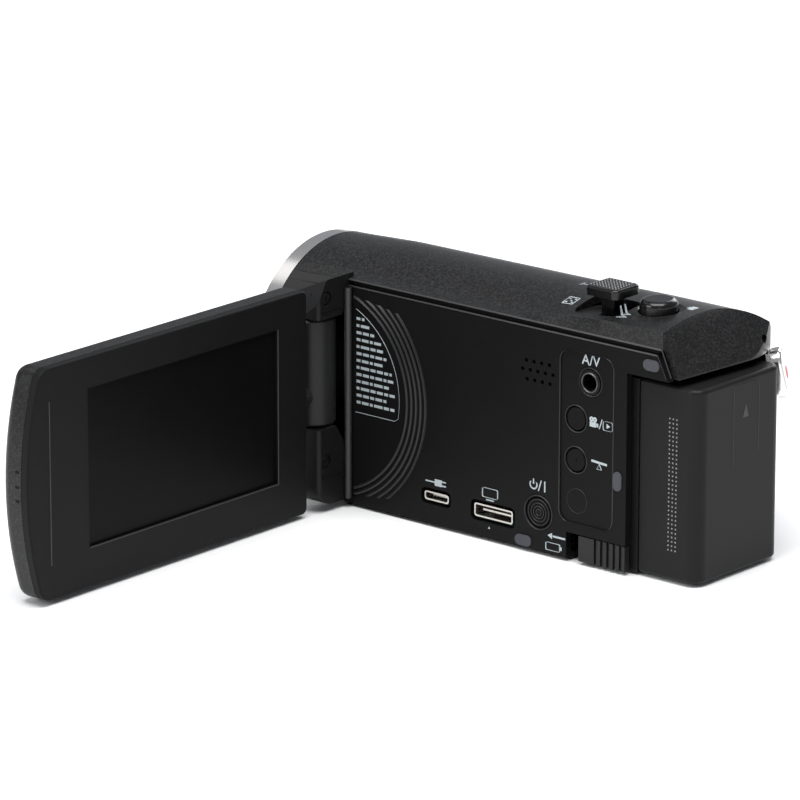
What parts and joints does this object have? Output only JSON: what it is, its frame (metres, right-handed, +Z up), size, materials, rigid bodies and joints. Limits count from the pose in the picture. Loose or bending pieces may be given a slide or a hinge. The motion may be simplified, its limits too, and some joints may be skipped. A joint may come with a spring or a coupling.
{
  "type": "camcorder",
  "caption": "Hand-held camcorder with a swing-out turning screen, removable battery, zoom lever, covered lens and side grip belt, standing with its screen open.",
  "frame": {"origin": "centre of the tripod socket's mouth, in the bottom face", "axes": "+X to the camcorder's left, where the screen opens; -Y towards the lens end; +Z up"},
  "size_m": [0.1602, 0.1168, 0.0602],
  "materials": {
    "charcoal_cover": "satin moulded plastic with a fine metallic fleck",
    "black_cover": "fine-grained moulded plastic",
    "matt_panel": "matt moulded plastic",
    "screen_plastic": "matt moulded plastic",
    "battery_plastic": "satin moulded plastic",
    "gloss_black": "polished moulded plastic",
    "grey_rubber": "soft moulded rubber",
    "satin_metal": "satin plated",
    "steel": "plated sheet and turned steel",
    "black_steel": "blackened screws",
    "brass": "turned and plated",
    "chassis_metal": "die cast, as cast",
    "circuit_board": "green solder resist",
    "lens_glass": "coated optical glass",
    "display_glass": "dark display window",
    "lamp_red": "red moulded plastic",
    "webbing": "woven nylon webbing",
    "pad_fabric": "padded knitted cloth"
  },
  "bodies": {
    "root": {"main_cover": "charcoal_cover", "bottom_cover": "black_cover", "side_panel": "matt_panel", "rubber_bumpers": "grey_rubber", "hinge_cover": "matt_panel", "hinge_pin": "steel", "hinge_screws": "black_steel", "front_ring": "satin_metal", "front_fascia": "black_cover", "microphones": "steel", "lens_barrel": "black_cover", "front_lens": "lens_glass", "guide_rods": "steel", "image_sensor": "circuit_board", "tripod_bush": "brass", "chassis_frame": "chassis_metal", "main_board": "circuit_board", "card_reader": "steel", "card_door_pin": "steel", "case_screws": "black_steel", "battery_bay": "black_cover", "battery_contacts": "brass", "av_jack": "gloss_black", "speaker": "steel", "port_board": "circuit_board", "usb_socket": "steel", "hdmi_socket": "steel", "dc_jack": "gloss_black", "status_lamp": "lamp_red", "side_switches": "gloss_black", "zoom_tray": "black_cover", "grip_belt": "webbing", "grip_pad": "pad_fabric", "belt_bars": "steel"},
    "hinge_arm": {"hinge_barrel": "matt_panel", "swivel_shaft": "steel"},
    "screen": {"screen_bezel": "screen_plastic", "screen_back": "charcoal_cover", "display_glass": "display_glass", "display_module": "gloss_black", "swivel_bush": "steel"},
    "shutter_upper": {"shutter_upper": "gloss_black"},
    "shutter_lower": {"shutter_lower": "gloss_black"},
    "zoom_group": {"zoom_lens_holder": "black_cover", "zoom_lens": "lens_glass"},
    "focus_group": {"focus_lens_holder": "black_cover", "focus_lens": "lens_glass"},
    "card_door": {"card_door": "black_cover"},
    "power_button": {"power_button": "matt_panel"},
    "mode_button": {"mode_button": "matt_panel"},
    "level_button": {"level_button": "matt_panel"},
    "zoom_lever": {"zoom_lever": "gloss_black"},
    "photo_button": {"photo_button": "gloss_black"},
    "rec_button": {"rec_button": "satin_metal", "rec_mark": "lamp_red"},
    "battery_lever": {"battery_lever": "matt_panel", "battery_latch": "steel"},
    "battery": {"battery_front_case": "battery_plastic", "battery_rear_case": "battery_plastic", "battery_cell": "steel"}
  },
  "joints": [
    {"name": "screen_open", "type": "hinge", "parent": "root", "child": "hinge_arm", "pos_m": [0.0224, -0.0405, 0.0262], "axis": [0, 0, 1], "range_deg": [0, 90]},
    {"name": "screen_turn", "type": "hinge", "parent": "hinge_arm", "child": "screen", "pos_m": [0.0302, -0.0396, 0.0262], "axis": [1, 0, 0], "range_deg": [-90, 180]},
    {"name": "shutter_upper_slide", "type": "slide", "parent": "root", "child": "shutter_upper", "axis": [0, 0, -1], "range_m": [0, 0.0076]},
    {"name": "shutter_lower_slide", "type": "slide", "parent": "root", "child": "shutter_lower", "axis": [0, 0, 1], "range_m": [0, 0.0076]},
    {"name": "zoom_group_slide", "type": "slide", "parent": "root", "child": "zoom_group", "axis": [0, 1, 0], "range_m": [0, 0.014]},
    {"name": "focus_group_slide", "type": "slide", "parent": "root", "child": "focus_group", "axis": [0, 1, 0], "range_m": [0, 0.003]},
    {"name": "card_door_open", "type": "hinge", "parent": "root", "child": "card_door", "pos_m": [0.0008, 0.0174, 0.0008], "axis": [-1, 0, 0], "range_deg": [0, 90]},
    {"name": "power_press", "type": "slide", "parent": "root", "child": "power_button", "axis": [-1, 0, 0], "range_m": [0, 0.0005], "stiffness_N_per_m": 600},
    {"name": "mode_press", "type": "slide", "parent": "root", "child": "mode_button", "axis": [-1, 0, 0], "range_m": [0, 0.0005], "stiffness_N_per_m": 600},
    {"name": "level_press", "type": "slide", "parent": "root", "child": "level_button", "axis": [-1, 0, 0], "range_m": [0, 0.0005], "stiffness_N_per_m": 600},
    {"name": "zoom_slide", "type": "slide", "parent": "root", "child": "zoom_lever", "axis": [1, 0, 0], "range_m": [-0.0025, 0.0025], "stiffness_N_per_m": 300},
    {"name": "photo_press", "type": "slide", "parent": "root", "child": "photo_button", "axis": [0, 0, -1], "range_m": [0, 0.0007], "stiffness_N_per_m": 600},
    {"name": "rec_press", "type": "slide", "parent": "root", "child": "rec_button", "axis": [0.4872, -0.8438, -0.225], "range_m": [0, 0.0006], "stiffness_N_per_m": 600},
    {"name": "battery_lever_slide", "type": "slide", "parent": "root", "child": "battery_lever", "axis": [0, -1, 0], "range_m": [0, 0.003], "stiffness_N_per_m": 300},
    {"name": "battery_slide", "type": "slide", "parent": "root", "child": "battery", "axis": [0, 0, -1], "range_m": [0, 0.012]}
  ],
  "couplings": [
    {"joint": "shutter_lower_slide", "follows": "shutter_upper_slide", "ratio": 1}
  ]
}
